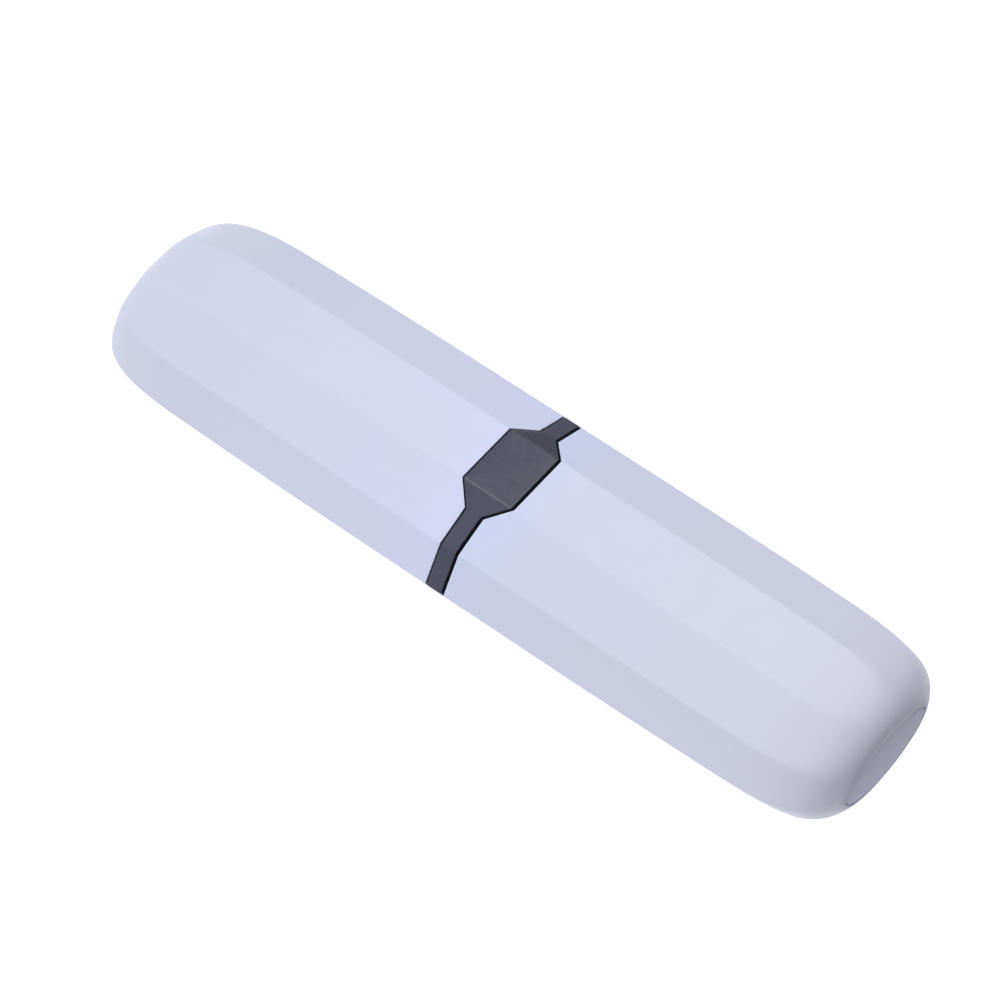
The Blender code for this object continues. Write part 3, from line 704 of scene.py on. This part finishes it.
def shell_rings(side, close_up):
    """Rings from the hollow's end, out round the mouth, and over the outside to the far end."""
    def edge(inset):
        return side * band_limit(MOUTH, PANEL, inset)

    straight = np.full(TURNS.shape, side * STRAIGHT_HALF)
    rounding = ROUND_START + (END - FILLET_FROM - ROUND_START) * np.sin(np.linspace(0, pi / 2, 34))
    stations = side * np.concatenate([np.linspace(STRAIGHT_HALF, ROUND_START, 12)[1:-1], rounding])

    last_inside = outline(side * END, WALL)
    last_inside[:, 0] = side * (END - WALL)
    rings = [last_inside * NARROW, last_inside]
    rings += [inner_outline(x, WALL) for x in stations[::-1]]
    hollow_stop = edge(WALL) + side * 1.0
    rings += [outline(x, WALL) for x in between(straight, hollow_stop, (0.0, 0.5, 1.0))]
    for shift, rise in rolled(LIP, (0, 30, 60, 90)):
        rings.append(outline(edge(WALL - rise) + side * shift, WALL - rise))
    rings += [outline(edge(inset), inset) for inset in (GAP_SHADE_DEEP, GAP_SHADE_SHOULDER)]
    for shift, inset in rolled(LIP, EDGE_TURNS)[::-1]:
        rings.append(outline(edge(inset) + side * shift, inset))
    outside_start = edge(0.0) + side * LIP
    rings += [outline(x) for x in between(outside_start, straight, (0.04, 0.15, 0.4, 0.7, 1.0))]
    rings += [outline(x) for x in stations]

    start = side * (END - FILLET_FROM)
    step = 0.05
    slope = (section_scale(start) - section_scale(start - side * step)) / step
    first = outline(start)
    corner = outline(side * END, scale=section_scale(start) + slope * FILLET_FROM)
    for share in np.linspace(0, 1, 10)[1:]:
        rings.append(first * (1 - share) ** 2 + corner * 2 * share * (1 - share)
                     + close_up * share**2)
    return rings


def foot_ring(depth, inset):
    """A ring round the foot pad, whose upper half is lower than the case's section there."""
    ring = outline(END, inset)
    ring[:, 0] = END - depth
    ring[:, 2] *= np.where(ring[:, 2] > 0, FOOT_LOW, 1.0)
    return ring


def make_base_shell():
    """The base's half, with a recess for the foot pad and two bosses for the cradle's screws."""
    rings = shell_rings(1, foot_ring(0.0, FOOT_RIM))
    for turn in (30, 60, 90):
        deep, inwards = FOOT_LIP * (1 - cos(radians(turn))), FOOT_LIP * sin(radians(turn))
        rings.append(foot_ring(deep, FOOT_RIM + inwards))
    floor = foot_ring(FOOT_DEEP, FOOT_RIM + FOOT_LIP)
    rings += [floor, floor * NARROW]
    shell = skin("base_case", rings)
    bosses = []
    for x in CRADLE_BOSS_X:
        boss = turned("boss", "Z", (x, 0.0), CRADLE_BOSS, 32)
        cut(boss, turned("pilot", "Z", (x, 0.0), CRADLE_PILOT, 20))
        bosses.append(boss)
    join(shell, *bosses)
    finish_piece(shell, "base", "ice_shell", ["base_shell"], "base_ice")


def make_foot_pad():
    """The pad in the base's end, with a soft rim and its face flush with the end."""
    rings = [foot_ring(depth, inset) for depth, inset in FOOT_PROFILE]
    face = rings[-1]
    rings += [face * np.array([1.0, share, share]) for share in FOOT_SHARES]
    pad = skin("foot_pad", rings)
    finish_piece(pad, "base", "soft_pad", ["base_foot_pad"])


COVER_PLAY = 0.3  # round the port cover, its anchor and the charging socket


def make_cap_shell():
    """The cap's half, with a pocket for the port cover and a hole for the charging socket."""
    face = outline(-END, CAP_FACE)
    rings = shell_rings(-1, face)
    rings.append(face * np.array([1.0, 0.9, 0.9]))
    shell = skin("cap_case", rings)
    low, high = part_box("usb_port_cover")
    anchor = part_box("port_cover_anchor")[0]
    top = high.z / MM - AXIS_HEIGHT + COVER_PLAY
    bottom = anchor.z / MM - AXIS_HEIGHT - COVER_PLAY
    wide = (high.y - low.y) / MM + 2 * COVER_PLAY
    pocket = slab("pocket", "X", (0.0, (top + bottom) / 2), (wide, top - bottom),
                  (-END - 1, -END + 1.3), 1.4)
    low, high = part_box("usb_c_socket")
    port = [(high[axis] - low[axis]) / MM + 2 * COVER_PLAY for axis in (1, 2)]
    hole = slab("hole", "X", (0.0, 0.0), port, (-END - 1, -END + 4), 1.3)
    cut(shell, pocket, hole)
    shell.data.set_sharp_from_angle(angle=radians(40))
    finish_piece(shell, "cap", "ice_shell", ["cap_shell"])


# ---- The collar and its key -----------------------------------------------------------------

BELT_LIP = 0.16  # the round on the belt's edges
CAP_FILLET = 0.2  # in the corners between the belt and the sleeve
BASE_FILLET = 0.3

# The sleeve goes into both shells, with its outside and its inside at these insets. Its base end
# holds the seal ring in a groove.
SLEEVE_HALF = 12.0
SLEEVE_OUT = 2.3
SLEEVE_IN = 4.0
GROOVE = (8.6, 10.2, 3.3)  # from, to and its floor's inset
GROOVE_LIP = 0.15

# The bosses for the electronics tray's screws: (y, z), then (x, radius), and their pilot holes.
TRAY_BOSS_AT = (13.4, 8.0)
TRAY_BOSS = ((-1.0, 2.7), (9.0, 2.7), (9.2, 2.5))
TRAY_PILOT = ((2.0, 0.95), (12.0, 0.95))

# The key's pocket, as (y, z) up one side: straight walls that flare where the facet ends.
POCKET_FLOOR = 14.0
POCKET_SIDE = ((8.72, POCKET_FLOOR), (8.72, 16.42), (8.74, 16.46), (8.79, 16.49),
               (9.4, 16.6), (9.4, 18.0))
KEY_HALF_WIDE = 8.68
KEY_THICK = 1.4
LEG_X = 4.9  # of the key's two legs, and of the barbs at their ends
BARB_X = 5.3


def make_collar():
    """The belt and its sleeve in one, with screw bosses and the key's pocket."""
    rings = []

    def low(inset):
        return band_limit(-MOUTH + CAP_GAP, KEY[0], inset) + CAP_LINE

    def high(inset):
        return band_limit(MOUTH - BASE_GAP, KEY[1], inset) - GAP_SHADE_WIDE

    def add(x, inset):
        rings.append(outline(x, inset))

    for x, inset in ((-SLEEVE_HALF + 0.3, SLEEVE_IN), (-SLEEVE_HALF, SLEEVE_IN - 0.3),
                     (-SLEEVE_HALF, SLEEVE_OUT + 0.4), (-SLEEVE_HALF + 0.4, SLEEVE_OUT)):
        add(x, inset)
    for shift, rise in rolled(CAP_FILLET, (0, 45, 90)):
        add(low(SLEEVE_OUT - rise) - shift, SLEEVE_OUT - rise)
    for inset in (GAP_SHADE_DEEP, GAP_SHADE_SHOULDER):
        add(low(inset), inset)
    for shift, inset in rolled(BELT_LIP, EDGE_TURNS)[::-1]:
        add(low(inset) + shift, inset)
    for x in between(low(0.0), high(0.0), (0.25, 0.5, 0.75)):
        add(x, 0.0)
    for shift, inset in rolled(BELT_LIP, EDGE_TURNS):
        add(high(inset) - shift, inset)
    for inset in (GAP_SHADE_SHOULDER, GAP_SHADE_DEEP):
        add(high(inset), inset)
    for shift, rise in rolled(BASE_FILLET, (90, 45, 0)):
        add(high(SLEEVE_OUT - rise) + shift, SLEEVE_OUT - rise)
    start, stop, deep = GROOVE
    for x, inset in ((start - GROOVE_LIP, SLEEVE_OUT), (start, SLEEVE_OUT + GROOVE_LIP),
                     (start, deep), (stop, deep),
                     (stop, SLEEVE_OUT + GROOVE_LIP), (stop + GROOVE_LIP, SLEEVE_OUT),
                     (SLEEVE_HALF - 0.5, SLEEVE_OUT), (SLEEVE_HALF - 0.15, SLEEVE_OUT + 0.12),
                     (SLEEVE_HALF, SLEEVE_OUT + 0.45), (SLEEVE_HALF, SLEEVE_IN - 0.3),
                     (SLEEVE_HALF - 0.3, SLEEVE_IN)):
        add(x, inset)
    collar = skin("collar", rings, closed=True)

    bosses = []
    for side in (-1, 1):
        at = (side * TRAY_BOSS_AT[0], TRAY_BOSS_AT[1])
        boss = turned("boss", "X", at, TRAY_BOSS, 32)
        cut(boss, turned("pilot", "X", at, TRAY_PILOT, 20))
        bosses.append(boss)
    join(collar, *bosses)

    around = [(-y, z) for y, z in POCKET_SIDE] + list(POCKET_SIDE[::-1])
    ends = [np.array([(x, y, z) for y, z in around]) for x in (KEY[0] - 0.2, KEY[1] + 0.2)]
    cut(collar, skin("key_pocket", ends))
    left, right = KEY[0] + 0.3, KEY[1] - 0.3
    well = slab("well", "Z", ((left + right) / 2, 0.0), (right - left, 2 * (EDGE_Y - 0.35)),
                (13.3, 14.5), 0.4)
    stem = turned("stem_hole", "Z", (0.0, 0.0), [(11.0, 2.3), (14.5, 2.3)], 32)
    slots = [slab("leg_slot", "Z", (side * LEG_X, 0.0), (1.8, 3.6), (11.0, 14.5), 0.2, steps=2)
             for side in (-1, 1)]
    cut(collar, well, stem, *slots)
    collar.data.set_sharp_from_angle(angle=radians(35))
    finish_piece(collar, "cap", "slate_trim", ["mid_collar"])


def make_belt_gap_shades():
    """The thin near-black strips on both sides of the belt, painted shade for the shadow in the
    parting gaps, which have no CAD node.
    """
    # Painted shade: each strip fills part of a parting gap, so that the gap reads as being in
    # shadow.
    for name, at_belt, at_key, start, stop in (
        ("belt_gap_shade_cap", -MOUTH + CAP_GAP, KEY[0], GAP_SHADE_PLAY - CAP_GAP, CAP_LINE - GAP_SHADE_PLAY),
        ("belt_gap_shade_base", MOUTH - BASE_GAP, KEY[1], GAP_SHADE_PLAY - GAP_SHADE_WIDE, 0.0),
    ):
        rings = []
        for share, inset in ((0, GAP_SHADE_DEEP), (0, GAP_SHADE_SHOULDER), (0.5, GAP_SHADE_SUNK),
                             (1, GAP_SHADE_SHOULDER), (1, GAP_SHADE_DEEP)):
            shift = start + (stop - start) * share
            rings.append(outline(band_limit(at_belt, at_key, inset) + shift, inset))
        finish_piece(skin(name, rings, closed=True), "cap", "dark_seal", [], "belt_gap_shade")


def make_key():
    """The power key: a flat plate with a stem, and two barbed legs that keep it in."""
    left, right = KEY[0] + CAP_LINE, KEY[1] - GAP_SHADE_WIDE - GAP_SHADE_PLAY
    centre = ((left + right) / 2, 0.0)
    key = slab("power_key", "Z", centre, (right - left, 2 * KEY_HALF_WIDE),
               (AXIS_HEIGHT - KEY_THICK, AXIS_HEIGHT), 0.35, (0.1, 0.16), curl=5)
    tools = [turned("stem", "Z", (0.0, 0.0), [(12.2, 1.7), (12.4, 1.9), (15.6, 1.9)], 32)]
    for side in (-1, 1):
        tools.append(slab("leg", "Z", (side * LEG_X, 0.0), (1.2, 3.0), (11.6, 15.6), 0.25,
                          steps=2))
        tools.append(slab("barb", "Z", (side * BARB_X, 0.0), (2.0, 3.0), (11.5, 12.2), 0.25,
                          (0.2, 0.1), steps=2))
    join(key, *tools)
    key.data.set_sharp_from_angle(angle=radians(40))
    finish_piece(key, "button", "slate_trim", ["button_key"], "slate_key")


# ---- The charging inlet's cover -------------------------------------------------------------

def make_port_cover():
    """The silicone cover with its plug and thumb grip, and the anchor that it hangs on."""
    low, high = (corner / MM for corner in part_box("usb_port_cover"))
    middle = (low.z + high.z) / 2 - AXIS_HEIGHT
    size = (high.y - low.y, high.z - low.z)
    cover = slab("port_cover", "X", (0.0, middle), size, (-END, -END + 1.0), 1.1, (0.25, 0.2))
    plug = slab("plug", "X", (0.0, 0.0), (7.6, 1.9), (-END + 0.6, -END + 1.9), 0.9, (0.0, 0.3))
    join(cover, plug)
    grip = slab("grip", "X", (0.0, middle + size[1] / 2), (4.4, 1.2),
                (-END - 0.6, -END + 0.35), 0.55, steps=5)
    cut(cover, grip)
    cover.data.set_sharp_from_angle(angle=radians(40))
    finish_piece(cover, "port_cover", "soft_pad", ["usb_port_cover"])

    low, high = (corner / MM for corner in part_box("port_cover_anchor"))
    middle = (low.z + high.z) / 2 - AXIS_HEIGHT
    size = (high.y - low.y, high.z - low.z)
    anchor = slab("cover_anchor", "X", (0.0, middle), size, (low.x, high.x), 0.5, (0.2, 0.1))
    finish_piece(anchor, "cap", "soft_pad", ["port_cover_anchor"])


# ---- The CAD nodes that still show ----------------------------------------------------------

EDGE_BREAK = 0.05  # how much of a node's least dimension the break of its edges takes


def dress_nodes():
    """Gives every CAD node its slot's material, and breaks the edges of those that show."""
    for entry in frame["record"]["subparts"]:
        node = frame["nodes"][entry["node"]]
        node.data.materials.clear()
        node.data.materials.append(MATERIALS[entry["material_slot"]])
        if node.hide_render:
            continue
        node.modifiers.new("weld", "WELD").merge_threshold = WELD
        rounding = node.modifiers.new("edge_rounding", "BEVEL")
        rounding.width = EDGE_BREAK * min(node.dimensions)
        rounding.segments = 2
        rounding.limit_method = "ANGLE"
        rounding.angle_limit = radians(40)
        rounding.harden_normals = True


# ---- The studio -----------------------------------------------------------------------------

# The floor glows faintly, so that it comes out as an even white like the photo's.
FLOOR_REACH = 6.0
FLOOR_GREY = (0.32, 0.32, 0.32)
FLOOR_GLOW = 0.74  # as the case sees it
FLOOR_SEEN = 0.86  # as the camera sees it
FLOOR_BEYOND = 0.15  # how much of its light the floor gives beyond the base's end
FLOOR_FALL = (0.105, 0.19)  # from where to where along x it falls to that


def make_floor():
    """A wide pale floor."""
    mesh = bpy.data.meshes.new("floor")
    shape = bmesh.new()
    bmesh.ops.create_grid(shape, x_segments=8, y_segments=8, size=FLOOR_REACH)
    shape.to_mesh(mesh)
    shape.free()
    floor = new_object("floor", mesh)
    paint = Paint("pale_floor", roughness=0.9)
    seen = paint.node("ShaderNodeLightPath").outputs["Is Camera Ray"]
    fall = paint.spread(paint.axis("X"), *FLOOR_FALL, 1.0, FLOOR_BEYOND)
    lit = paint.maths("MAXIMUM", seen, fall)
    paint.colour(paint.blend(lit, (0.0, 0.0, 0.0), FLOOR_GREY))
    paint.shader.inputs["Specular IOR Level"].default_value = 0.0
    paint.shader.inputs["Emission Color"].default_value = (1.0, 1.0, 1.0, 1.0)
    glow = paint.maths("MAXIMUM", paint.maths("MULTIPLY", seen, FLOOR_SEEN),
                       paint.maths("MULTIPLY", lit, FLOOR_GLOW))
    paint.link(glow, paint.shader.inputs["Emission Strength"])
    floor.data.materials.append(paint.material)


# How bright the studio's dome is, as factors along a direction: (from, to, at from, at to).
DOME = (
    ("X", (-0.95, -0.35, 0.50, 1.0)),
    ("X", (-0.2, 0.85, 1.14, 0.10)),
    ("Y", (-0.8, -0.1, 1.17, 1.0)),
    ("Y", (0.1, 0.95, 1.0, 0.57)),
    ("Z", (0.0, 0.7, 0.73, 1.22)),
)


def make_world():
    """A soft dome, brightest overhead, that falls away beyond both ends and at the back."""
    world = bpy.data.worlds.new("studio")
    bpy.context.scene.world = world
    world.use_nodes = True
    nodes = world.node_tree.nodes
    links = world.node_tree.links
    background = nodes["Background"]
    place = nodes.new("ShaderNodeTexCoord")
    split = nodes.new("ShaderNodeSeparateXYZ")
    links.new(place.outputs["Generated"], split.inputs[0])
    strength = None
    for letter, numbers in DOME:
        fall = nodes.new("ShaderNodeMapRange")
        fall.interpolation_type = "SMOOTHSTEP"
        for socket, number in zip(("From Min", "From Max", "To Min", "To Max"), numbers):
            fall.inputs[socket].default_value = number
        links.new(split.outputs[letter], fall.inputs["Value"])
        if strength is None:
            strength = fall.outputs["Result"]
        else:
            times = nodes.new("ShaderNodeMath")
            times.operation = "MULTIPLY"
            links.new(strength, times.inputs[0])
            links.new(fall.outputs["Result"], times.inputs[1])
            strength = times.outputs[0]
    seen = nodes.new("ShaderNodeLightPath")
    either = nodes.new("ShaderNodeMix")
    links.new(seen.outputs["Is Camera Ray"], either.inputs[0])
    links.new(strength, either.inputs[2])
    either.inputs[3].default_value = 1.0
    links.new(either.outputs[0], background.inputs["Strength"])
    background.inputs["Color"].default_value = (1.0, 1.0, 1.0, 1.0)


def make_softbox(name, place, size, power):
    """A rectangular lamp that faces the case's middle."""
    light = bpy.data.lights.new(name, "AREA")
    light.shape = "RECTANGLE"
    light.size, light.size_y = size
    light.energy = power
    holder = bpy.data.objects.new(name, light)
    bpy.context.scene.collection.objects.link(holder)
    holder.location = place
    towards = Vector((0.0, 0.0, AXIS_HEIGHT * MM)) - holder.location
    holder.rotation_euler = towards.to_track_quat("-Z", "Y").to_euler()


def make_camera():
    """The camera, placed by its turn, height angle and tilt round the case's middle."""
    turn, rise, tilt = radians(36.607), radians(54.921), radians(1.790)
    distance = 1.033
    shift = (-0.00971, 0.0095)
    back = Vector((sin(turn) * cos(rise), -cos(turn) * cos(rise), sin(rise)))
    right = Vector((cos(turn), sin(turn), 0.0))
    up = back.cross(right)
    level = (cos(tilt) * right + sin(tilt) * up, cos(tilt) * up - sin(tilt) * right)
    camera = bpy.data.cameras.new("camera")
    camera.sensor_width = 36.0
    camera.lens = 161.1
    camera.shift_x, camera.shift_y = shift
    camera.clip_start, camera.clip_end = 0.05, 40.0
    holder = bpy.data.objects.new("camera", camera)
    bpy.context.scene.collection.objects.link(holder)
    rotation = Matrix((level[0], level[1], back)).transposed()
    place = Vector((0, 0, AXIS_HEIGHT * MM)) + back * distance
    holder.matrix_world = Matrix.Translation(place) @ rotation.to_4x4()
    bpy.context.scene.camera = holder


make_camera()
make_base_shell()
make_foot_pad()
make_cap_shell()
make_collar()
make_belt_gap_shades()
make_key()
make_port_cover()
dress_nodes()
make_floor()
make_world()
make_softbox("overhead", (-0.1, 0.6, 1.4), (1.3, 1.1), 5.6)
bpy.context.scene.view_settings.view_transform = "Standard"
